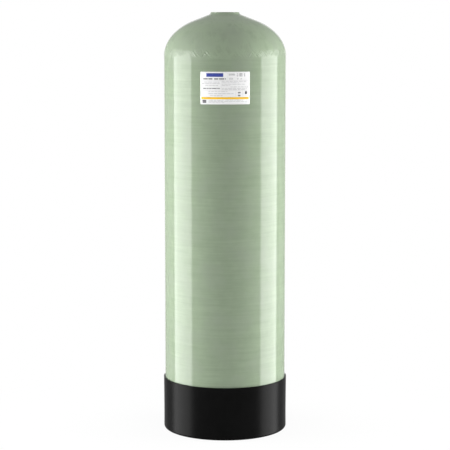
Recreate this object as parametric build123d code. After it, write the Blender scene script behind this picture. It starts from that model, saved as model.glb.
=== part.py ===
from build123d import *
import os
from math import acos, atan2, cos, degrees, pi, sin, sqrt

# A wound fibreglass pressure tank for water filters, standing on a moulded boot.
# Millimetres, +Z up. The origin is on the floor, on the tank's axis. The label faces -Y.

# Vessel
tank_radius = 167.0        # outside of the winding
overall_height = 1155.0    # floor to neck rim
dome_height = 108.6        # depth of each elliptical end, outside
floor_gap = 14.0           # lowest point of the winding above the floor
winding_wall = 3.2
liner_wall = 3.5

# Neck
neck_radius = 39.0         # outside of the winding at the neck
neck_rise = 9.0            # neck rim above the top dome's own crown
neck_fillet = 8.0          # hollow between the neck and the shoulder
rim_chamfer = 1.0
shoulder_radius = 82.0     # where the straight shoulder leaves the dome

# Neck insert
thread_radius = 36.3       # major radius of the 2.5 in straight pipe thread
thread_lead_in = 1.0
insert_neck_wall = 1.5
insert_tube_wall = 5.2
insert_length = 34.0
insert_fillet = 5.0
flange_radius = 60.0       # flange held between liner and winding

# Lower boss and distributor seat of the liner
boss_radius = 12.0
boss_projection = 3.0      # boss below the winding
boss_chamfer = 1.5
seat_ring_wall = 3.0
seat_ring_height = 5.0
seat_clearance = 0.5       # round the distributor's foot

# Distributor and riser
riser_radius = 13.35       # outside of a 1.05 in tube
riser_wall = 2.85
riser_clearance = 8.0      # below the neck insert
cap_radius = 30.0
cap_thickness = 4.0
cap_chamfer = 1.0
screen_radius = 27.0
screen_wall = 3.0
slot_width = 0.3
slot_count = 12
ring_height = 4.5          # one screen bar, outside
ring_relief = 0.35         # how much each bar narrows inwards, on each side
band_height = 10.0         # plain bands at the ends of the screen
spigot_length = 8.0
rib_count = 6
rib_depth = 2.5            # screen ribs, inwards from the bars
rib_thickness = 2.0
rib_bite = 0.8             # how far a rib runs into the bars
head_wall = 3.5
head_rim = 4.0
cone_height = 18.0
socket_depth = 25.0
socket_wall = 4.0
socket_stop = 7.0          # ring that the riser stands on

# Boot
boot_height = 146.0
lip_wall = 5.3             # boot beyond the tank, at its lip
lip_height = 12.5
boot_top_wall = 3.8        # under the lip
boot_waist_wall = 2.6
boot_foot_wall = 3.9
lip_step = 3.0             # height of the step under the lip
waist_height = 50.0
foot_height = 22.0
lip_round = 1.6
step_round = 1.2
waist_round = 60.0
foot_round = 5.8
boot_floor = 5.0
floor_hole_radius = 50.0
hub_wall = 4.0
boot_rib_count = 8
boot_rib_thickness = 4.0
boot_rib_height = 75.0

# Label
label_width = 133.4        # along the curve
label_height = 86.0
label_thickness = 0.25
label_drop = 38.8          # its top edge below the start of the upper dome
label_turn = 0.1           # degrees round from the front
label_corner = 1.5

# Levels and sizes that follow from the above
bottom_tangent = floor_gap + dome_height
top_tangent = overall_height - neck_rise - dome_height
liner_radius = tank_radius - winding_wall
liner_depth = dome_height - winding_wall
cavity_radius = liner_radius - liner_wall
cavity_depth = liner_depth - liner_wall
insert_neck_radius = thread_radius + insert_neck_wall
insert_tube_radius = thread_radius + insert_tube_wall
insert_bottom = overall_height - insert_length
seat_radius = cap_radius + seat_clearance
seat_level = bottom_tangent - cavity_depth * sqrt(1 - (seat_radius / cavity_radius) ** 2)
shoulder_angle = acos(shoulder_radius / tank_radius)
shoulder_slope = atan2(dome_height * cos(shoulder_angle), tank_radius * sin(shoulder_angle))
screen_bottom = seat_level + cap_thickness
screen_bore = screen_radius - screen_wall
slot_pitch = slot_width + ring_height
screen_top = screen_bottom + 2 * band_height + slot_count * slot_pitch - ring_height
riser_bore = riser_radius - riser_wall
socket_floor = screen_top + head_rim + cone_height + socket_stop
riser_top = insert_bottom - riser_clearance


def shoulder_level(radius):
    # height of the outside of the straight shoulder at a radius
    tangent_point = top_tangent + dome_height * sin(shoulder_angle)
    return tangent_point + (shoulder_radius - radius) * sin(shoulder_slope) / cos(shoulder_slope)


def spin(outline):
    # full turn of a half section, drawn as radius and height
    return revolve(Plane.XZ * outline, Axis.Z)


def block(inner, outer, low, high):
    # rectangle of a half section, from radius to radius and level to level
    width = outer - inner
    height = high - low
    return Pos((inner + outer) / 2, (low + high) / 2) * Rectangle(width, height)


def rounded(outline, corner, radius):
    vertex = outline.vertices().sort_by_distance(corner)[0]
    return fillet(vertex, radius)


def bevelled(outline, corner, length):
    vertex = outline.vertices().sort_by_distance(corner)[0]
    return chamfer(vertex, length)


def tank_outline():
    # outside of the winding, filled to the axis
    neck_foot = (neck_radius, shoulder_level(neck_radius))
    rim_corner = (neck_radius, overall_height)
    lower_end = EllipticalCenterArc((0, bottom_tangent), tank_radius, dome_height, -90, arc_size=90)
    upper_end = EllipticalCenterArc(
        (0, top_tangent), tank_radius, dome_height, 0, arc_size=degrees(shoulder_angle)
    )
    wall = Line(lower_end @ 1, upper_end @ 0)
    neck = Polyline(upper_end @ 1, neck_foot, rim_corner, (0, overall_height), lower_end @ 0)
    outline = make_face([lower_end, wall, upper_end, neck])
    outline = rounded(outline, neck_foot, neck_fillet)
    return bevelled(outline, rim_corner, rim_chamfer)


def vessel_outline(radius, depth):
    # closed bottle inside the tank, filled to the axis: two elliptical ends and a straight wall
    lower_end = EllipticalCenterArc((0, bottom_tangent), radius, depth, -90, arc_size=90)
    upper_end = EllipticalCenterArc((0, top_tangent), radius, depth, 0, arc_size=90)
    wall = Line(lower_end @ 1, upper_end @ 0)
    axis = Line(upper_end @ 1, lower_end @ 0)
    return make_face([lower_end, wall, upper_end, axis])


def boss_outline():
    # pin under the liner that goes through the winding
    low = floor_gap - boss_projection
    outline = block(0, boss_radius, low, bottom_tangent - cavity_depth)
    return bevelled(outline, (boss_radius, low), boss_chamfer)


def liner_outline():
    # outside of the liner, closed at the neck
    return vessel_outline(liner_radius, liner_depth) + boss_outline()


def cavity_outline():
    # the water space: flat at the distributor's seat, with the locating ring left standing
    seat = block(0, seat_radius, floor_gap, seat_level)
    ring = block(seat_radius, seat_radius + seat_ring_wall, floor_gap, seat_level + seat_ring_height)
    return vessel_outline(cavity_radius, cavity_depth) - seat - ring


def insert_outline():
    # insert before its bore: neck, flange under the shoulder, and the tube through the liner
    drop = winding_wall / cos(shoulder_slope)
    flange_foot = (insert_neck_radius, shoulder_level(insert_neck_radius) - drop)
    flange_edge = (flange_radius, shoulder_level(flange_radius) - drop)
    outline = make_face(
        Polyline(
            (0, overall_height),
            (insert_neck_radius, overall_height),
            flange_foot,
            flange_edge,
            (flange_radius, insert_bottom),
            (0, insert_bottom),
            close=True,
        )
    )
    outline = rounded(outline, flange_foot, insert_fillet)
    below_liner = block(insert_tube_radius, tank_radius, insert_bottom, overall_height)
    below_liner &= vessel_outline(liner_radius, liner_depth)
    return outline - below_liner


def winding_shell():
    return spin(tank_outline() - liner_outline() - insert_outline())


def inner_liner():
    mouth = block(0, insert_tube_radius, top_tangent, overall_height)
    return spin(liner_outline() - cavity_outline() - mouth)


def neck_insert():
    bore = block(0, thread_radius, insert_bottom, overall_height)
    section = insert_outline() - bore
    return spin(bevelled(section, (thread_radius, overall_height), thread_lead_in))


def boot_outline():
    # wall with its lip, waist and foot, and the floor ring
    lip_radius = tank_radius + lip_wall
    top_radius = tank_radius + boot_top_wall
    waist_radius = tank_radius + boot_waist_wall
    foot_radius = tank_radius + boot_foot_wall
    lip_bottom = boot_height - lip_height
    step_bottom = lip_bottom - lip_step
    corners = [
        (tank_radius, boot_height),
        (lip_radius, boot_height),
        (lip_radius, lip_bottom),
        (top_radius, step_bottom),
        (waist_radius, waist_height),
        (foot_radius, foot_height),
        (foot_radius, 0),
        (floor_hole_radius, 0),
        (floor_hole_radius, boot_floor),
        (tank_radius, boot_floor),
    ]
    outline = make_face(Polyline(*corners, close=True))
    outline = rounded(outline, corners[1], lip_round)
    outline = rounded(outline, corners[2], step_round)
    outline = rounded(outline, corners[3], step_round)
    outline = rounded(outline, corners[4], waist_round)
    outline = rounded(outline, corners[5], waist_round)
    return rounded(outline, corners[6], foot_round)


def base_boot():
    # ribs and hub are cut to the dome, so that the tank stands on them
    hub_radius = floor_hole_radius + hub_wall
    hub = spin(block(floor_hole_radius, hub_radius, 0, boot_rib_height))
    rib_length = tank_radius + boot_waist_wall / 2 - floor_hole_radius - hub_wall / 2
    rib = Box(
        rib_length,
        boot_rib_thickness,
        boot_rib_height,
        align=(Align.MIN, Align.CENTER, Align.MIN),
    )
    rib = Pos(floor_hole_radius + hub_wall / 2, 0, 0) * rib
    ribs = [Rot(0, 0, 360 * (i + 0.5) / boot_rib_count) * rib for i in range(boot_rib_count)]
    return spin(boot_outline()) + hub + ribs - spin(tank_outline())


def rating_label():
    angle = 360 * label_width / (2 * pi * (tank_radius + label_thickness / 2))
    low = top_tangent - label_drop - label_height
    strip = block(tank_radius, tank_radius + label_thickness, low, low + label_height)
    film = revolve(Plane.XZ * strip, Axis.Z, angle)
    corners = film.edges().filter_by(lambda edge: edge.length < 2 * label_thickness)
    corners = corners.filter_by(Axis.Z, reverse=True)
    film = fillet(corners, label_corner)
    return Rot(0, 0, label_turn - 90 - angle / 2) * film


def riser_tube():
    return spin(block(riser_bore, riser_radius, socket_floor, riser_top))


def distributor_head():
    # spigot in the screen, cone, and the socket that takes the riser
    rim_top = screen_top + head_rim
    cone_top = rim_top + cone_height
    socket_radius = riser_radius + socket_wall
    socket_top = socket_floor + socket_depth
    chamber = screen_bore - head_wall
    section = make_face(
        Polyline(
            (chamber, screen_top - spigot_length),
            (screen_bore, screen_top - spigot_length),
            (screen_bore, screen_top),
            (screen_radius, screen_top),
            (screen_radius, rim_top),
            (socket_radius, cone_top),
            (socket_radius, socket_top),
            (riser_radius, socket_top),
            (riser_radius, socket_floor),
            (riser_bore, socket_floor),
            (riser_bore, cone_top),
            (chamber, rim_top),
            close=True,
        )
    )
    return spin(section)


def screen_bar(level):
    # one bar of the screen, narrower inside so that the slot opens inwards
    return make_face(
        Polyline(
            (screen_radius, level),
            (screen_radius, level + ring_height),
            (screen_bore, level + ring_height - ring_relief),
            (screen_bore, level + ring_relief),
            close=True,
        )
    )


def distributor_screen():
    first_slot = screen_bottom + band_height
    section = block(screen_bore, screen_radius, screen_bottom, first_slot)
    section += block(screen_bore, screen_radius, screen_top - band_height, screen_top)
    section += [screen_bar(first_slot + slot_width + slot_pitch * i) for i in range(slot_count - 1)]
    ribs_low = screen_bottom + spigot_length
    rib = Box(
        rib_depth + rib_bite,
        rib_thickness,
        screen_top - spigot_length - ribs_low,
        align=(Align.MAX, Align.CENTER, Align.MIN),
    )
    rib = Pos(screen_bore + rib_bite, 0, ribs_low) * rib
    ribs = [Rot(0, 0, 360 * i / rib_count) * rib for i in range(rib_count)]
    return spin(section) + ribs


def distributor_cap():
    foot = bevelled(
        block(0, cap_radius, seat_level, screen_bottom), (cap_radius, seat_level), cap_chamfer
    )
    return spin(foot + block(0, screen_bore, screen_bottom, screen_bottom + spigot_length))


nodes = {
    "winding_shell": winding_shell(),
    "inner_liner": inner_liner(),
    "neck_insert": neck_insert(),
    "base_boot": base_boot(),
    "rating_label": rating_label(),
    "riser_tube": riser_tube(),
    "distributor_head": distributor_head(),
    "distributor_screen": distributor_screen(),
    "distributor_cap": distributor_cap(),
}

os.makedirs("parts", exist_ok=True)
for name, solid in nodes.items():
    export_step(solid, f"parts/{name}.step")
    print(name, round(solid.volume / 1000, 1), "cm3")
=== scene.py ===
import math

import bpy
import numpy as np
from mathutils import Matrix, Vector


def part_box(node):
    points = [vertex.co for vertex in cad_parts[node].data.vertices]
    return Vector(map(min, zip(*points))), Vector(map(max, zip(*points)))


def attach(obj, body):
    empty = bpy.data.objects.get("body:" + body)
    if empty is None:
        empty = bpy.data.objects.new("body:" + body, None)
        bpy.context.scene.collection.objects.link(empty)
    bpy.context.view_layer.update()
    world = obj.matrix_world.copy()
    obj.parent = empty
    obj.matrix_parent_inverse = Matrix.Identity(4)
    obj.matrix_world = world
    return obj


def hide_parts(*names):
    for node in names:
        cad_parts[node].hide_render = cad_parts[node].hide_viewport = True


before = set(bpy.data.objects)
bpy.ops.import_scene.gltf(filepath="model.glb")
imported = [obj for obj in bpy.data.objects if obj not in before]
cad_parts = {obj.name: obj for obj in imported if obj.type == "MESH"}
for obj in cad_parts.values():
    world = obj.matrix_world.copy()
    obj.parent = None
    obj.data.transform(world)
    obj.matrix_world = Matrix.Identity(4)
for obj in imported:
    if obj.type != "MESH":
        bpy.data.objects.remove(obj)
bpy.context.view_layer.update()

scene = bpy.context.scene
scene.view_settings.view_transform = "Standard"
millimetre = 0.001
fullTurn = 2 * math.pi


# shader nodes: a socket given a value holds it, a socket given another socket is linked to it
def addNode(tree, kind, sockets=None, **settings):
    made = tree.nodes.new(kind)
    for name, value in settings.items():
        setattr(made, name, value)
    for name, value in (sockets or {}).items():
        if isinstance(value, bpy.types.NodeSocket):
            tree.links.new(value, made.inputs[name])
        else:
            made.inputs[name].default_value = value
    return made


def calculate(tree, operation, first, second=0.0, third=0.0):
    return addNode(tree, "ShaderNodeMath", {0: first, 1: second, 2: third}, operation=operation).outputs[0]


def objectPlaces(tree):
    return addNode(tree, "ShaderNodeTexCoord").outputs["Object"]


def stretched(tree, places, scale, turn=(0, 0, 0)):
    return addNode(tree, "ShaderNodeMapping", {"Vector": places, "Scale": scale, "Rotation": turn}).outputs[0]


def cloud(tree, places, scale, detail=3.0, roughness=0.5):
    sockets = {"Vector": places, "Scale": scale, "Detail": detail, "Roughness": roughness}
    return addNode(tree, "ShaderNodeTexNoise", sockets).outputs[0]


def smoothStep(tree, value, start, end, low=0.0, high=1.0):
    # eases from low to high while the value goes from start to end
    sockets = {"Value": value, "From Min": start, "From Max": end, "To Min": low, "To Max": high}
    return addNode(tree, "ShaderNodeMapRange", sockets, interpolation_type="SMOOTHSTEP").outputs[0]


def ramp(tree, factor, stops):
    # stops are (place, colour) pairs, each colour three linear values
    made = addNode(tree, "ShaderNodeValToRGB", {"Fac": factor})
    bar = made.color_ramp
    while len(bar.elements) < len(stops):
        bar.elements.new(0.5)
    for element, (place, colour) in zip(bar.elements, stops):
        element.position = place
        element.color = (*colour, 1)
    return made.outputs["Color"]


def mixColours(tree, factor, first, second):
    return addNode(tree, "ShaderNodeMix", {0: factor, 6: first, 7: second}, data_type="RGBA").outputs[2]


def bump(tree, height, distance, under=None):
    sockets = {"Height": height, "Distance": distance}
    if under is not None:
        sockets["Normal"] = under
    return addNode(tree, "ShaderNodeBump", sockets).outputs[0]


def newMaterial(name, sockets):
    # a surface shader whose constant values sit on its own sockets
    made = bpy.data.materials.new(name)
    made.use_nodes = True
    tree = made.node_tree
    shader = tree.nodes["Principled BSDF"]
    for socket, value in sockets.items():
        shader.inputs[socket].default_value = value
    return made, tree, shader


def wear(piece, material):
    # a CAD node or a new piece takes this one finish
    piece.data.materials.clear()
    piece.data.materials.append(material)


# a grid of points becomes a mesh: each face joins four neighbours, and a closed direction joins its last
# row or column to its first; if six times the enclosed volume, the sum of corner triple products, comes out
# negative, the faces are turned over
def gridFaces(rows, columns, closedAlong, closedAround):
    row = np.arange(rows if closedAlong else rows - 1)[:, None]
    column = np.arange(columns if closedAround else columns - 1)[None, :]
    nextRow = (row + 1) % rows
    nextColumn = (column + 1) % columns
    corners = [row * columns + column, row * columns + nextColumn]
    corners += [nextRow * columns + nextColumn, nextRow * columns + column]
    return np.stack(corners, axis=-1).reshape(-1, 4)


def enclosedVolume(points, faces):
    first, second, third, fourth = (points[faces[:, i]] for i in range(4))
    across, diagonal, along = second - first, third - first, fourth - first
    cross = np.cross(across, diagonal) + np.cross(diagonal, along)
    return float((first * cross).sum()) / 6


def makePiece(name, points, faces, body="root", slot=None, standsFor=None, sharpAngle=40):
    mesh = bpy.data.meshes.new(name)
    mesh.from_pydata(points.tolist(), [], faces.tolist())
    mesh.polygons.foreach_set("use_smooth", np.ones(len(faces), dtype=bool))
    mesh.set_sharp_from_angle(angle=math.radians(sharpAngle))
    piece = bpy.data.objects.new(name, mesh)
    scene.collection.objects.link(piece)
    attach(piece, body)
    if standsFor:
        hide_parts(standsFor)
    return piece


def revolveRing(name, radii, heights, columns, shift=None, **about):
    # x = r cos(turn), y = r sin(turn), z = height, where the profile is a closed loop of (r, height) and
    # shift moves each point of the grid outwards from the axis and upwards
    turn = np.arange(columns) * fullTurn / columns
    radius = np.repeat(radii[:, None], columns, axis=1)
    height = np.repeat(heights[:, None], columns, axis=1)
    if shift is not None:
        radius = radius + shift[0]
        height = height + shift[1]
    points = np.stack([radius * np.cos(turn), radius * np.sin(turn), height], axis=-1).reshape(-1, 3)
    faces = gridFaces(len(radii), columns, True, True)
    if enclosedVolume(points, faces) < 0:
        faces = faces[:, ::-1]
    return makePiece(name, points, faces, **about)


def straight(start, end, count):
    # count points from start towards end, without the end itself
    share = np.arange(count)[:, None] / count
    return np.array(start) + share * (np.array(end) - np.array(start))


def ellipse(radius, depth, middle, fromAngle, toAngle, count):
    # r = radius cos(t), height = middle + depth sin(t), without the end point
    angle = fromAngle + (toAngle - fromAngle) * np.arange(count) / count
    return np.stack([radius * np.cos(angle), middle + depth * np.sin(angle)], axis=-1)


def roundCorner(before, corner, after, radius, count):
    # arc that touches both sides of a corner: its middle lies on the halving line, at the radius divided
    # by the sine of half the corner's angle
    towards = [(np.array(p) - corner) / np.linalg.norm(np.array(p) - corner) for p in (before, after)]
    half = math.acos(float(np.dot(*towards))) / 2
    middle = corner + (towards[0] + towards[1]) / (2 * math.cos(half)) * radius / math.sin(half)
    touch = [corner + side * radius / math.tan(half) for side in towards]
    angles = [math.atan2(*(p - middle)[::-1]) for p in touch]
    sweep = (angles[1] - angles[0] + math.pi) % fullTurn - math.pi
    angle = angles[0] + sweep * np.arange(count + 1) / count
    return np.stack([middle[0] + radius * np.cos(angle), middle[1] + radius * np.sin(angle)], axis=-1)


# the wound shell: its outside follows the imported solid, and the winding's own relief is cut into it
winding = {
    "domeDepth": 0.1086,
    "domeLift": 0.0021,        # how much fuller the photographed dome is near its shoulder
    "neckRise": 0.009,         # from the top of the dome's ellipse to the rim
    "neckRadius": 0.039,
    "shoulderRadius": 0.082,   # the shoulder is straight inside this radius
    "footFillet": 0.008,       # hollow where the shoulder meets the neck
    "rimChamfer": 0.001,
    "wall": 0.0032,
    "bossHole": 0.012,
    "boreRadius": 0.0378,
    "flangeRadius": 0.060,
    "columns": 288,
    "bands": 46,               # crossing bands of strands counted round the tank
    "bandDepth": 0.00012,      # hollow between two crossing bands
    "bandsFrom": 0.06,         # they deepen from this far below the dome
    "bandsSpan": 0.08,
    "bandsOnWall": 0.25,       # share of their depth on the wall
    "smoothNeck": 0.002,       # no relief within this distance of the neck
    "smoothSpan": 0.02,
    "hoopWidth": 0.031,        # one turn of the hoop winding
    "hoopDepth": 0.00005,
    "sway": 0.00008,           # slow unevenness round and along the tank
    "edgeLean": 3.6,           # extra turn of the strands for each metre up, where the last hoop turns end
    "edgeStart": -0.004,       # the strip with that turn, measured up from the wall's top
    "edgeSpan": 0.024,
}

shellLow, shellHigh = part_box("winding_shell")
tankRadius = shellHigh.x
neckTop = shellHigh.z
bottomTangent = shellLow.z + winding["domeDepth"]
crossingAngle = math.acos(winding["shoulderRadius"] / tankRadius)
shoulderSlope = math.atan2(
    winding["domeDepth"] * math.cos(crossingAngle), tankRadius * math.sin(crossingAngle)
)
topTangent = neckTop - winding["neckRise"] - winding["domeDepth"]


def shoulderLevel(radius):
    # height of the straight shoulder, which leaves the dome's ellipse along its tangent
    start = topTangent + winding["domeDepth"] * math.sin(crossingAngle)
    return start + (winding["shoulderRadius"] - radius) * math.tan(shoulderSlope)


def windingProfile():
    # the outside from the boss hole up to the rim, and then the inside back down to the hole; the upper dome
    # is lifted in step with its height above the wall, and the lift fades out below the rim
    size = winding
    holeAngle = math.acos(size["bossHole"] / tankRadius)
    leave = (size["shoulderRadius"], shoulderLevel(size["shoulderRadius"]))
    foot = np.array([size["neckRadius"], shoulderLevel(size["neckRadius"])])
    rim = np.array([size["neckRadius"], neckTop])
    rimInside = (size["boreRadius"], neckTop)
    fillet = roundCorner(leave, foot, rim, size["footFillet"], 8)
    rimOutside = rim - (0, size["rimChamfer"])
    outside = [
        ellipse(tankRadius, size["domeDepth"], bottomTangent, -holeAngle, 0, 26),
        straight((tankRadius, bottomTangent), (tankRadius, topTangent), 178),
        ellipse(tankRadius, size["domeDepth"], topTangent, 0, crossingAngle, 40),
        straight(leave, fillet[0], 10),
        fillet,
        straight(rimOutside, rim - (size["rimChamfer"], 0), 2),
        [rim - (size["rimChamfer"], 0)],
    ]
    outside = np.concatenate(outside)
    upTheDome = np.clip((outside[:, 1] - topTangent) / size["domeDepth"], 0, 1)
    underTheRim = np.clip((neckTop - outside[:, 1]) / size["footFillet"], 0, 1)
    outside[:, 1] += size["domeLift"] * upTheDome * underTheRim
    drop = size["wall"] / math.cos(shoulderSlope)
    innerRadius = tankRadius - size["wall"]
    innerDepth = size["domeDepth"] - size["wall"]
    flangeAngle = math.acos(size["flangeRadius"] / innerRadius)
    innerHoleAngle = math.acos(size["bossHole"] / innerRadius)
    flangeFoot = (size["boreRadius"], shoulderLevel(size["boreRadius"]) - drop)
    flangeEdge = (size["flangeRadius"], shoulderLevel(size["flangeRadius"]) - drop)
    inside = [
        straight(rimInside, flangeFoot, 3),
        straight(flangeFoot, flangeEdge, 3),
        straight(flangeEdge, (size["flangeRadius"], topTangent + innerDepth * math.sin(flangeAngle)), 1),
        ellipse(innerRadius, innerDepth, topTangent, flangeAngle, 0, 16),
        straight((innerRadius, topTangent), (innerRadius, bottomTangent), 4),
        ellipse(innerRadius, innerDepth, bottomTangent, 0, -innerHoleAngle, 18),
        [(size["bossHole"], bottomTangent - innerDepth * math.sin(innerHoleAngle))],
    ]
    return outside, np.concatenate(inside)


def windingRelief(outside, columns):
    # strands run along lines that only just miss the neck, so along the profile their turn grows by
    # neck / (r root(r r - neck neck)) for each unit of length; where lines that lean left and right cross,
    # crossing = 1/2 - (cos(bands (turn + lean)) + cos(bands (turn - lean))) / 4, deepest on the upper dome;
    # hoops = 1/2 - cos(turns of length by hoop width) / 2 with a slow wobble marks each hoop on the wall;
    # sway = 1/2 and two slow sines round and along the tank, and the relief fades out towards the neck
    size = winding
    radius = outside[:, 0]
    step = np.linalg.norm(np.diff(outside, axis=0, prepend=outside[:1]), axis=1)
    clear = np.maximum(radius, size["neckRadius"] * 1.03)
    lean = np.cumsum(step * size["neckRadius"] / (clear * np.sqrt(clear ** 2 - size["neckRadius"] ** 2)))
    length = np.cumsum(step)
    lean = (lean[-1] - lean)[:, None]
    length = length[:, None]
    turn = (np.arange(columns) * fullTurn / columns)[None, :]
    height = outside[:, 1][:, None]
    dome = np.clip((height - topTangent + size["bandsFrom"]) / size["bandsSpan"], size["bandsOnWall"], 1)
    fromNeck = radius - size["neckRadius"] - size["smoothNeck"]
    smoothNeck = np.clip(fromNeck / size["smoothSpan"], 0, 1)[:, None]
    crossing = 0.5 - (np.cos(size["bands"] * (turn + lean)) + np.cos(size["bands"] * (turn - lean))) / 4
    hoops = 0.5 - 0.5 * np.cos(fullTurn * length / size["hoopWidth"] + 0.8 * np.sin(turn + 4 * length))
    sway = 0.5 + 0.25 * np.sin(3 * turn + 9 * length) + 0.25 * np.sin(5 * turn - 17 * length + 1)
    relief = size["bandDepth"] * dome * crossing + size["hoopDepth"] * (1 - dome) * hoops
    relief = (relief + size["sway"] * sway) * smoothNeck
    return relief, lean, length


def makeWinding():
    # each outside point moves inwards by its relief, square to the profile; leanLeft and leanRight keep
    # cos(turn + lean), sin(turn + lean) and the length along the profile for the strands of each way
    outside, inside = windingProfile()
    columns = winding["columns"]
    relief, lean, length = windingRelief(outside, columns)
    along = np.gradient(outside, axis=0)
    along = along / np.linalg.norm(along, axis=1, keepdims=True)
    radii, heights = np.concatenate([outside, inside]).T
    shift = np.zeros((2, len(radii), columns))
    shift[0, : len(outside)] = -relief * along[:, 1:2]
    shift[1, : len(outside)] = relief * along[:, 0:1]
    piece = revolveRing(
        "windingSkin", radii, heights, columns, shift,
        slot="wound_fibreglass", standsFor="winding_shell", sharpAngle=50,
    )
    turn = (np.arange(columns) * fullTurn / columns)[None, :]
    aboveWall = np.clip(outside[:, 1:2] - topTangent - winding["edgeStart"], 0, winding["edgeSpan"])
    lean = lean - winding["edgeLean"] * aboveWall
    for name, way in (("leanLeft", 1), ("leanRight", -1)):
        angle = turn + way * np.concatenate([lean, np.zeros((len(inside), 1))])
        place = np.concatenate([length, np.zeros((len(inside), 1))]) + 0 * turn
        values = np.stack([np.cos(angle), np.sin(angle), place], axis=-1)
        store = piece.data.attributes.new(name, "FLOAT_VECTOR", "POINT")
        store.data.foreach_set("vector", values.astype(np.float32).ravel())
    return piece


windingFinish = {
    "pale": (0.292, 0.364, 0.253),
    "sage": (0.268, 0.336, 0.233),
    "deep": (0.245, 0.308, 0.212),
    "greyer": (0.270, 0.322, 0.243),
    "greyShare": 0.6,          # of the greyer resin where it is strongest
    "roughness": 0.10,
    "resinIndex": 1.44,
    "hoopScale": (6, 6, 120),  # the noise patterns' scales: hoop lines, fine hoop lines and strands
    "fineHoopScale": (14, 14, 800),
    "strandScale": (20, 20, 2),
    "mottleScale": 38,
    "tintScale": 13,
    "domeFade": (-0.012, 0.014),  # from wall finish to dome finish, measured up from the wall's top
    "domeHoops": 0.25,         # share of the hoop lines that the dome keeps
    "lineShade": 0.60,         # how much the hoop lines shade the wall
    "wallShade": 0.31,         # added on the wall and not on the dome, where the next two count for more
    "mottleShade": (0.22, 0.36),  # on the wall, and how much more on the dome
    "crossingShade": (0.06, 0.52),
    "crossingBump": 0.00038,   # on the upper dome, where no hoop turns cover the crossing strands
    "coveredBump": 0.00005,
    "edgeBump": 0.0035,        # more where the last hoop turns end, just above the wall
    "edgeHeight": 0.008,       # the middle of that strip above the wall
    "edgeReach": (0.003, 0.011),  # from its middle: full as far as the first, gone at the second
    "crossingMean": 0.54,      # taken off there, so that the strip isn't raised as a whole
    "hoopBump": 0.00005,
}


def windingMaterial():
    finish = windingFinish
    made, tree, shader = newMaterial("sageWinding", {"IOR": finish["resinIndex"]})
    places = objectPlaces(tree)
    hoops = cloud(tree, stretched(tree, places, finish["hoopScale"]), 1, 5, 0.6)
    fineHoops = cloud(tree, stretched(tree, places, finish["fineHoopScale"]), 1, 2)
    mottle = cloud(tree, places, finish["mottleScale"], 5, 0.6)
    tint = cloud(tree, places, finish["tintScale"], 3)
    strands = []
    for name in ("leanLeft", "leanRight"):
        lines = addNode(tree, "ShaderNodeAttribute", attribute_name=name).outputs["Vector"]
        strands.append(cloud(tree, stretched(tree, lines, finish["strandScale"]), 1, 3, 0.6))
    crossing = calculate(tree, "MAXIMUM", strands[0], strands[1])
    height = addNode(tree, "ShaderNodeSeparateXYZ", {0: places}).outputs["Z"]
    dome = smoothStep(tree, height, *(topTangent + place for place in finish["domeFade"]))
    wall = calculate(tree, "SUBTRACT", 1.0, dome)
    hoopShare = calculate(tree, "MULTIPLY_ADD", wall, 1 - finish["domeHoops"], finish["domeHoops"])
    lined = calculate(tree, "MULTIPLY_ADD", hoops, 0.6, calculate(tree, "MULTIPLY", fineHoops, 0.4))
    centred = calculate(tree, "SUBTRACT", lined, 0.5)
    lineShare = calculate(tree, "MULTIPLY", hoopShare, finish["lineShade"])
    ground = calculate(tree, "MULTIPLY_ADD", dome, -finish["wallShade"], finish["wallShade"])
    shade = calculate(tree, "MULTIPLY_ADD", centred, lineShare, ground)
    for pattern, shades in ((mottle, finish["mottleShade"]), (crossing, finish["crossingShade"])):
        share = calculate(tree, "MULTIPLY_ADD", dome, shades[1], shades[0])
        shade = calculate(tree, "MULTIPLY_ADD", pattern, share, shade)
    stops = [(0.38, finish["deep"]), (0.5, finish["sage"]), (0.62, finish["pale"])]
    # greyer and greener resin drift into each other
    greyShare = addNode(tree, "ShaderNodeMapRange", {
        "Value": tint, "From Min": 0.45, "From Max": 0.65, "To Max": finish["greyShare"],
    }).outputs[0]
    colour = mixColours(tree, greyShare, ramp(tree, shade, stops), (*finish["greyer"], 1))
    tree.links.new(colour, shader.inputs["Base Color"])
    rough = calculate(tree, "MULTIPLY_ADD", mottle, 0.06, finish["roughness"] - 0.03)
    tree.links.new(rough, shader.inputs["Roughness"])
    covered = finish["coveredBump"]
    rise = calculate(tree, "MULTIPLY_ADD", dome, finish["crossingBump"] - covered, covered)
    edge = topTangent + finish["edgeHeight"]
    fromEdge = calculate(tree, "ABSOLUTE", calculate(tree, "SUBTRACT", height, edge))
    atEdge = smoothStep(tree, fromEdge, *finish["edgeReach"], 1.0, 0.0)
    uneven = calculate(tree, "SUBTRACT", crossing, finish["crossingMean"])
    rise = calculate(tree, "MULTIPLY", crossing, rise)
    edgeRise = calculate(tree, "MULTIPLY", atEdge, finish["edgeBump"])
    rise = calculate(tree, "MULTIPLY_ADD", uneven, edgeRise, rise)
    hoopRise = calculate(tree, "MULTIPLY", lined, hoopShare)
    normal = bump(tree, hoopRise, finish["hoopBump"], under=bump(tree, rise, 1.0))
    tree.links.new(normal, shader.inputs["Normal"])
    return made


wear(makeWinding(), windingMaterial())
print("winding made")


# the threaded insert in the neck
insert = {
    "threadRadius": 0.0363,
    "threadDepth": 0.0017,
    "pitch": 0.003175,
    "ridgeSlope": 1.35,        # above 1 it flattens the crests
    "rootFlat": 0.17,          # flattens the roots
    "leadIn": 0.001,
    "threadLength": 0.028,
    "neckOutside": 0.0378,
    "tubeOutside": 0.0415,
    "footFillet": 0.005,
    "columns": 144,
    "rowsPerTurn": 16,
}


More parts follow.
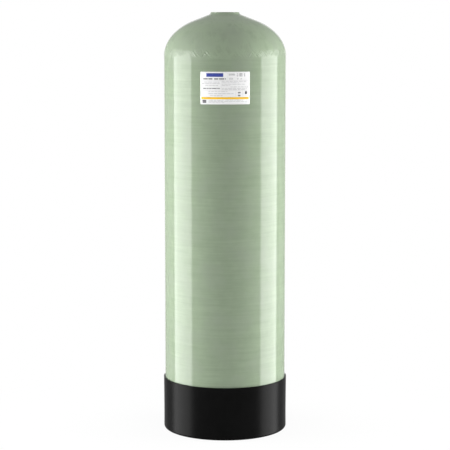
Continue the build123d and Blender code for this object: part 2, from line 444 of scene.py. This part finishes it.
def makeInsert():
    # in the bore, radius = thread radius - depth times a ridge that is 1 at each crest and 0 at each root;
    # the ridge climbs by one pitch for each turn round the axis and runs out over a pitch at both ends
    size = insert
    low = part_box("neck_insert")[0].z
    drop = winding["wall"] / math.cos(shoulderSlope)
    innerRadius = tankRadius - winding["wall"]
    innerDepth = winding["domeDepth"] - winding["wall"]
    flange = winding["flangeRadius"]
    foot = np.array([size["neckOutside"], shoulderLevel(size["neckOutside"]) - drop])
    edge = (flange, shoulderLevel(flange) - drop)
    seat = (flange, topTangent + innerDepth * math.sin(math.acos(flange / innerRadius)))
    tubeAngle = math.acos(size["tubeOutside"] / innerRadius)
    tubeTop = (size["tubeOutside"], topTangent + innerDepth * math.sin(tubeAngle))
    mouth = (size["threadRadius"] + size["leadIn"], neckTop)
    leadEnd = (size["threadRadius"], neckTop - size["leadIn"])
    boreFoot = (size["threadRadius"], low)
    fillet = roundCorner((size["neckOutside"], neckTop), foot, edge, size["footFillet"], 6)
    boreRows = int((leadEnd[1] - low) / size["pitch"] * size["rowsPerTurn"])
    bore = straight(boreFoot, leadEnd, boreRows)
    rest = [
        straight(leadEnd, mouth, 2),
        straight(mouth, (size["neckOutside"], neckTop), 2),
        straight((size["neckOutside"], neckTop), fillet[0], 3),
        fillet,
        straight(fillet[-1], edge, 5),
        straight(edge, seat, 1),
        straight(seat, tubeTop, 5),
        straight(tubeTop, (size["tubeOutside"], low), 4),
        straight((size["tubeOutside"], low), boreFoot, 2),
    ]
    radii, heights = np.concatenate([bore, *rest]).T
    turn = (np.arange(size["columns"]) * fullTurn / size["columns"])[None, :]
    climb = (heights[:boreRows, None] - low) / size["pitch"] - turn / fullTurn
    wave = np.abs(2 * (climb % 1) - 1)
    ridge = np.clip(wave * size["ridgeSlope"] - size["rootFlat"], 0, 1)
    fromTop = leadEnd[1] - heights[:boreRows, None]
    fromEnd = size["threadLength"] - fromTop
    ends = np.clip(fromTop / size["pitch"], 0, 1) * np.clip(fromEnd / size["pitch"], 0, 1)
    shift = np.zeros((2, len(radii), size["columns"]))
    shift[0, :boreRows] = -size["threadDepth"] * ridge * ends
    return revolveRing(
        "threadedInsert", radii, heights, size["columns"], shift,
        slot="neck_plastic", standsFor="neck_insert", sharpAngle=32,
    )


def mouldedPlastic(name, colour, deeper, roughness, grain, grainDepth=0.00002, shine=0.5):
    # moulded plastic: faint clouding in the colour, a fine spark-eroded grain and uneven gloss
    made, tree, shader = newMaterial(name, {"Specular IOR Level": shine})
    places = objectPlaces(tree)
    clouding = cloud(tree, places, 34, 3)
    fine = cloud(tree, places, grain, 4, 0.7)
    tree.links.new(ramp(tree, clouding, [(0.35, deeper), (0.65, colour)]), shader.inputs["Base Color"])
    rough = calculate(tree, "MULTIPLY_ADD", fine, 0.16, roughness - 0.08)
    tree.links.new(rough, shader.inputs["Roughness"])
    tree.links.new(bump(tree, fine, grainDepth), shader.inputs["Normal"])
    return made


wear(makeInsert(), mouldedPlastic("insertPlastic", (0.03, 0.03, 0.032), (0.022, 0.022, 0.024), 0.38, 900))
print("insert made")


# the label film and what is printed on it
label = {
    "width": 0.1334,
    "thickness": 0.00025,
    "corner": 0.0015,
    "turn": math.radians(0.1),   # round from the front
    "columns": 72,
    "inkLift": 0.00002,
    "inkThickness": 0.00002,
}

filmLow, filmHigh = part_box("rating_label")
filmHeight = filmHigh.z - filmLow.z


def onLabel(across, up, lift):
    # a place on the film: the turn from the front is the distance across divided by the radius
    radius = tankRadius + lift
    turn = across / tankRadius + label["turn"]
    return np.stack([radius * np.sin(turn), -radius * np.cos(turn), filmLow.z + up], axis=-1)


def solidify(piece, thickness):
    made = piece.modifiers.new("thickness", "SOLIDIFY")
    made.thickness = thickness
    made.offset = -1


def makeFilm():
    # a rectangle laid on the tank; near its top and bottom each row is drawn in by
    # corner - root(corner^2 - (distance into the corner)^2), which rounds the four corners
    corner = label["corner"]
    bend = corner * np.sin(np.linspace(0, math.pi / 2, 6))
    up = np.concatenate([corner - bend[::-1], np.linspace(corner, filmHeight - corner, 8)[1:-1],
                         filmHeight - corner + bend])
    into = np.clip(np.abs(up - filmHeight / 2) - (filmHeight / 2 - corner), 0, corner)
    half = label["width"] / 2 - corner + np.sqrt(np.maximum(corner ** 2 - into ** 2, 0))
    across = half[:, None] * np.linspace(-1, 1, label["columns"])[None, :]
    points = onLabel(across, up[:, None] + 0 * across, label["thickness"])
    faces = gridFaces(len(up), label["columns"], False, False)
    piece = makePiece("labelFilm", points.reshape(-1, 3), faces, slot="label_film", standsFor="rating_label")
    solidify(piece, label["thickness"])
    return piece


def inkPieces(name, patches):
    # each patch is (left, top, right, bottom) in millimetres from the film's top left corner
    lift = label["thickness"] + label["inkLift"] + label["inkThickness"]
    allPoints, allFaces, count = [], [], 0
    for left, top, right, bottom in patches:
        columns = 2 + int((right - left) / 3)
        across = np.linspace(left, right, columns)[None, :] * millimetre - label["width"] / 2
        up = filmHeight - np.array([bottom, top])[:, None] * millimetre
        points = onLabel(across + 0 * up, up + 0 * across, lift)
        allPoints.append(points.reshape(-1, 3))
        allFaces.append(gridFaces(2, columns, False, False) + count)
        count += 2 * columns
    piece = makePiece(name, np.concatenate(allPoints), np.concatenate(allFaces), slot="label_film")
    solidify(piece, label["inkThickness"])
    return piece


def wordBars(chance, left, right, top, tall, word=(5, 13), gap=1.6):
    # a line of print shown as plain bars of uneven length
    bars = []
    place = left
    while place < right - 2:
        end = min(place + chance.uniform(*word), right)
        bars.append((place, top, end, top + tall))
        place = end + gap
    return bars


def makePrint():
    chance = np.random.default_rng(7)
    grey, dark = [], []
    for left, right, top, tall in (
        (76, 94, 5, 5), (98, 101, 3.5, 9), (105, 114, 3.5, 9), (118, 121, 3.5, 9),
        (77, 88, 17, 3.6), (99, 103, 17, 3), (108, 113, 17, 3),
    ):
        grey.append((left, top, right, top + tall))
    # lines of print as (left, right, top), under the height of their bars
    for tall, lines in (
        (1.5, ((9, 52, 26.5), (3, 53, 30.3), (13, 48, 35.2))),
        (1.4, ((58, 124, 24.4), (58, 104, 28.2), (58, 124, 32), (58, 80, 35.6), (81, 130, 39),
               (58, 126, 42.8), (58, 120, 46))),
        (1.5, ((22, 73, 51.2), (22, 92, 56.6), (26, 62, 62))),
        (1.2, ((22, 115, 74.4), (22, 126, 77.6), (22, 64, 80.8))),
    ):
        for left, right, top in lines:
            grey += wordBars(chance, left, right, top, tall)
    for left, right in ((8, 33), (37.5, 69)):
        dark += wordBars(chance, left, right, 17.2, 3.2, (9, 16), 1.8)
    dark += wordBars(chance, 7.5, 53, 42.8, 2.4)
    dark += [(5.5, 74.2, 16, 82.4), (101, 53.2, 108, 56.9), (101, 60.5, 107.5, 64.4)]
    rules = [
        (73.6, 3, 74, 22.6), (2.5, 22.6, 131, 23), (56, 23, 56.4, 48.6), (2.5, 48.6, 131, 49),
        (94.4, 49, 94.8, 66), (113.4, 49, 113.8, 66),
    ]
    return {
        "labelGreyInk": (grey, (0.60, 0.60, 0.61)),
        "labelDarkInk": (dark, (0.20, 0.20, 0.21)),
        "labelRules": (rules, (0.55, 0.55, 0.55)),
        "labelMark": ([(120.4, 51.4, 125.6, 58.8)], (0.015, 0.015, 0.015)),
        "labelBlueField": ([(16.2, 3.6, 61.8, 13.4)], (0.04, 0.065, 0.35)),
        "labelYellowBand": ([(2.3, 66.9, 131.1, 72.3)], (1.0, 0.60, 0.004)),
    }


def filmMaterial():
    # coated white film: soft gloss with a trace of unevenness from the winding under it
    made, tree, shader = newMaterial("labelWhite", {"IOR": 1.45})
    places = objectPlaces(tree)
    fibre = cloud(tree, places, 700, 3)
    waves = cloud(tree, stretched(tree, places, (8, 8, 60)), 1, 2)
    tree.links.new(ramp(tree, fibre, [(0.3, (0.90, 0.90, 0.90)), (0.7, (0.94, 0.94, 0.94))]),
                   shader.inputs["Base Color"])
    tree.links.new(calculate(tree, "MULTIPLY_ADD", fibre, 0.1, 0.3), shader.inputs["Roughness"])
    tree.links.new(bump(tree, waves, 0.00015), shader.inputs["Normal"])
    return made


def inkMaterial(name, colour):
    # printed ink: the film shows through its thinnest spots
    made, tree, shader = newMaterial(name, {"IOR": 1.45, "Roughness": 0.42})
    grain = cloud(tree, objectPlaces(tree), 2600, 2)
    paler = tuple(min(1.0, part * 0.9 + 0.04) for part in colour)
    tree.links.new(ramp(tree, grain, [(0.5, colour), (0.8, paler)]), shader.inputs["Base Color"])
    return made


wear(makeFilm(), filmMaterial())
for name, (patches, colour) in makePrint().items():
    wear(inkPieces(name, patches), inkMaterial(name + "Colour", colour))
print("label made")


# the boot: one wall on a rounded foot, with a floor ring, a hub and ribs under the tank
boot = {
    "waistRadius": 0.17044,
    "waistHeight": 0.050,
    "flare": 0.0072,           # how fast the wall widens above and below its waist
    "waistEase": 0.0001,       # softens the waist
    "rimRound": 0.0006,
    "footRound": 0.008,
    "floor": 0.005,
    "hole": 0.050,
    "hubWall": 0.004,
    "ribs": 8,
    "ribWidth": 0.004,
    "ribTop": 0.075,
    "columns": 240,
}


def domeUnderside(radius):
    # height of the lower dome's outside at a radius
    return bottomTangent - winding["domeDepth"] * np.sqrt(1 - (radius / tankRadius) ** 2)


def bootRadius(height):
    # radius = waist + root((flare times height above the waist)^2 + ease^2) - ease
    ease = boot["waistEase"]
    return boot["waistRadius"] + np.hypot(boot["flare"] * (height - boot["waistHeight"]), ease) - ease


def makeBoot():
    # half section, carried round the axis; the wall's outside comes from bootRadius
    size = boot
    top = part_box("base_boot")[1].z
    hub = size["hole"] + size["hubWall"]
    rimCorner = np.array([float(bootRadius(top)), top])
    footCorner = np.array([float(bootRadius(size["footRound"])), 0.0])
    along = (0, 0.02)  # from a corner to a place on the wall
    rim = roundCorner((tankRadius, top), rimCorner, rimCorner - along, size["rimRound"], 4)
    foot = roundCorner(footCorner + along, footCorner, (size["hole"], 0.0), size["footRound"], 12)
    height = np.linspace(rim[-1][1], foot[0][1], 30)[1:-1]
    hubTop = domeUnderside(np.array([size["hole"], hub]))
    section = [
        straight((tankRadius, size["floor"]), (tankRadius, top), 4),
        [(tankRadius, top)],
        rim,
        np.stack([bootRadius(height), height], axis=-1),
        foot,
        straight(foot[-1], (size["hole"], 0), 6)[1:],
        straight((size["hole"], 0), (size["hole"], hubTop[0]), 2),
        straight((size["hole"], hubTop[0]), (hub, hubTop[1]), 1),
        straight((hub, hubTop[1]), (hub, size["floor"]), 2),
        straight((hub, size["floor"]), (tankRadius, size["floor"]), 5),
    ]
    radii, heights = np.concatenate(section).T
    return revolveRing(
        "mouldedBoot", radii, heights, size["columns"],
        slot="boot_plastic", standsFor="base_boot", sharpAngle=35,
    )


def makeBootRibs():
    # each rib is a strip of four-cornered sections from the hub to the wall, whose top follows the dome
    size = boot
    low, high = size["hole"] + size["hubWall"] / 2, (tankRadius + size["waistRadius"]) / 2
    reach = np.linspace(low, high, 28)
    top = np.minimum(size["ribTop"], domeUnderside(np.minimum(reach, tankRadius)))
    foot = size["floor"] / 2 + 0 * reach
    side = size["ribWidth"] / 2 * np.array([-1, 1, 1, -1])
    level = np.stack([foot, foot, top, top], axis=-1)
    turn = (np.arange(size["ribs"]) + 0.5)[:, None, None] * fullTurn / size["ribs"]
    reach = reach[None, :, None]
    x = reach * np.cos(turn) - side * np.sin(turn)
    y = reach * np.sin(turn) + side * np.cos(turn)
    points = np.stack([x, y, level[None] + 0 * x], axis=-1)
    ends = np.array([[0, 1, 2, 3], [3, 2, 1, 0]]) + np.array([[0], [4 * (points.shape[1] - 1)]])
    one = np.concatenate([gridFaces(points.shape[1], 4, False, True)[:, ::-1], ends])
    faces = (np.arange(size["ribs"])[:, None, None] * 4 * points.shape[1] + one).reshape(-1, 4)
    points = points.reshape(-1, 3)
    if enclosedVolume(points, faces) < 0:
        faces = faces[:, ::-1]
    return makePiece("bootRibs", points, faces, slot="boot_plastic")


bootPlastic = mouldedPlastic(
    "bootPlastic", (0.0049,) * 3, (0.0042,) * 3, 0.27, grain=1100, grainDepth=0.00001, shine=0.058,
)
wear(makeBoot(), bootPlastic)
wear(makeBootRibs(), bootPlastic)
print("boot made")


# finishes of the CAD nodes that keep their own shape: colour, deeper colour, roughness and grain
nodeFinishes = {
    "inner_liner": ("linerPlastic", (0.72, 0.74, 0.70), (0.64, 0.67, 0.63), 0.42, 500),
    "riser_tube": ("riserPlastic", (0.78, 0.78, 0.75), (0.72, 0.72, 0.70), 0.32, 700),
    "distributor_head": ("distributorPlastic", (0.50, 0.51, 0.50), (0.44, 0.45, 0.44), 0.4, 800),
}

for nodeName, finish in nodeFinishes.items():
    wear(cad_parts[nodeName], mouldedPlastic(*finish))
for nodeName in ("distributor_screen", "distributor_cap"):
    wear(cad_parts[nodeName], bpy.data.materials["distributorPlastic"])
print("moulded finishes given")


# studio: a white floor and sky, and a tall softbox at each side
studio = {
    "skyLow": 0.33,            # even light from the horizon, where 1 is white
    "skyHigh": 0.48,           # and from overhead
    "skyRise": (0.1, 0.8),     # how far up it changes from one to the other
    "backdrop": (0.92, 0.982),  # a white sheet behind the tank: cosines where it begins and is full
    "floorRadius": 7.0,
    "floorSides": 64,
    "floorFade": (0.2, 0.8),   # distances from the tank's axis between which the floor turns to white
    "floorWhite": 0.92,        # share of white inside them
    "softboxTop": 1.42,
    "softboxFoot": -0.90,      # below the floor, so that its reflection reaches the foot of the tank
    "softboxDistance": 1.5,
    "glow": 5.25,              # brightness of a softbox
    "left": (-0.76, 0.463),    # how far each softbox reaches towards the camera and away from it
    "right": (-0.60, 0.56),
    "fillSize": 2.0,           # four plain panels that the tank doesn't mirror
    "fills": {                 # place, tilt up from facing the floor, turn about the upright and brightness
        "frontFill": ((1.5, -3.0, 1.5), math.pi / 2, 0.46, 0.65),
        "topFill": ((0.0, -1.1, 2.7), 0.45, 0.0, 0.85),
        "leftFill": ((-2.4, 0.2, 0.1), math.pi / 2, -math.pi / 2, 4.4),
        "rightFill": ((2.4, 0.2, 0.1), math.pi / 2, math.pi / 2, 3.9),
    },
}


def makeFloor():
    # a disc that joins the white sky: to the camera it brightens to pure white away from the tank
    sides = studio["floorSides"]
    turn = np.arange(sides) * fullTurn / sides
    points = np.stack([np.cos(turn), np.sin(turn), 0 * turn], axis=-1) * studio["floorRadius"]
    mesh = bpy.data.meshes.new("floor")
    mesh.from_pydata(points.tolist(), [], [list(range(sides))])
    floor = bpy.data.objects.new("floor", mesh)
    scene.collection.objects.link(floor)
    floor.visible_glossy = False
    made = bpy.data.materials.new("studioFloor")
    made.use_nodes = True
    tree = made.node_tree
    tree.nodes.clear()
    places = objectPlaces(tree)
    distance = addNode(tree, "ShaderNodeVectorMath", {0: places}, operation="LENGTH").outputs["Value"]
    fade = smoothStep(tree, distance, *studio["floorFade"], studio["floorWhite"], 1.0)
    seen = addNode(tree, "ShaderNodeLightPath").outputs["Is Camera Ray"]
    share = calculate(tree, "MULTIPLY", fade, seen)
    paint = addNode(tree, "ShaderNodeBsdfDiffuse", {"Color": (0.8, 0.8, 0.8, 1)}).outputs[0]
    white = addNode(tree, "ShaderNodeEmission", {"Strength": 1.0}).outputs[0]
    surface = addNode(tree, "ShaderNodeMixShader", {0: share, 1: paint, 2: white}).outputs[0]
    addNode(tree, "ShaderNodeOutputMaterial", {"Surface": surface})
    mesh.materials.append(made)


def makeSky():
    # white to the camera, and to everything else a dim light that grows overhead and behind the tank
    world = bpy.data.worlds.new("studioSky")
    scene.world = world
    world.use_nodes = True
    tree = world.node_tree
    tree.nodes.clear()
    way = addNode(tree, "ShaderNodeTexCoord").outputs["Generated"]
    way = addNode(tree, "ShaderNodeSeparateXYZ", {0: way}).outputs
    light = smoothStep(tree, way["Z"], *studio["skyRise"], studio["skyLow"], studio["skyHigh"])
    behind = smoothStep(tree, way["Y"], *studio["backdrop"])
    light = addNode(tree, "ShaderNodeMix", {0: behind, 2: light, 3: 1.0}).outputs[0]
    seen = addNode(tree, "ShaderNodeLightPath").outputs["Is Camera Ray"]
    strength = addNode(tree, "ShaderNodeMix", {0: seen, 2: light, 3: 1.0}).outputs[0]
    sky = addNode(tree, "ShaderNodeBackground", {"Color": (1, 1, 1, 1), "Strength": strength}).outputs[0]
    addNode(tree, "ShaderNodeOutputWorld", {"Surface": sky})


def makePanel(name, wide, tall, glow, place, turn):
    # power = brightness times pi times area, which gives the panel's face that brightness
    lamp = bpy.data.lights.new(name, "AREA")
    lamp.shape = "RECTANGLE"
    lamp.size = wide
    lamp.size_y = tall
    lamp.energy = glow * math.pi * wide * tall
    panel = bpy.data.objects.new(name, lamp)
    panel.visible_camera = False
    panel.location = place
    panel.rotation_euler = turn
    scene.collection.objects.link(panel)
    return panel


def makeLights():
    # the softboxes stand upright at both sides and face the tank, and the fills aren't mirrored in it
    tall = studio["softboxTop"] - studio["softboxFoot"]
    middle = (studio["softboxTop"] + studio["softboxFoot"]) / 2
    for name, side, reach in (("softboxLeft", -1, studio["left"]), ("softboxRight", 1, studio["right"])):
        place = (side * studio["softboxDistance"], sum(reach) / 2, middle)
        turn = (math.pi / 2, 0, side * math.pi / 2)
        makePanel(name, reach[1] - reach[0], tall, studio["glow"], place, turn)
    size = studio["fillSize"]
    for name, (place, tilt, turn, glow) in studio["fills"].items():
        fill = makePanel(name, size, size, glow, place, (tilt, 0, turn))
        fill.visible_glossy = False


makeFloor()
makeSky()
makeLights()
print("studio made")


# camera: its distance and height come from how the photograph's outline narrows and from its two rims
photograph = {
    "width": 450,              # pixels
    "focal": 1652,             # pixels
    "opticalRow": 226.45,
    "middleRow": 224.5,
    "distance": 4.542,
    "height": 1.1533,
    "downwards": math.radians(7.39),
}


def makeCamera():
    view = photograph
    lens = bpy.data.cameras.new("camera")
    lens.sensor_width = 36
    lens.lens = lens.sensor_width * view["focal"] / view["width"]
    lens.shift_y = (view["opticalRow"] - view["middleRow"]) / view["width"]
    camera = bpy.data.objects.new("camera", lens)
    camera.location = (0, -view["distance"], view["height"])
    camera.rotation_euler = (math.pi / 2 - view["downwards"], 0, 0)
    scene.collection.objects.link(camera)
    scene.camera = camera


makeCamera()
print("camera made")
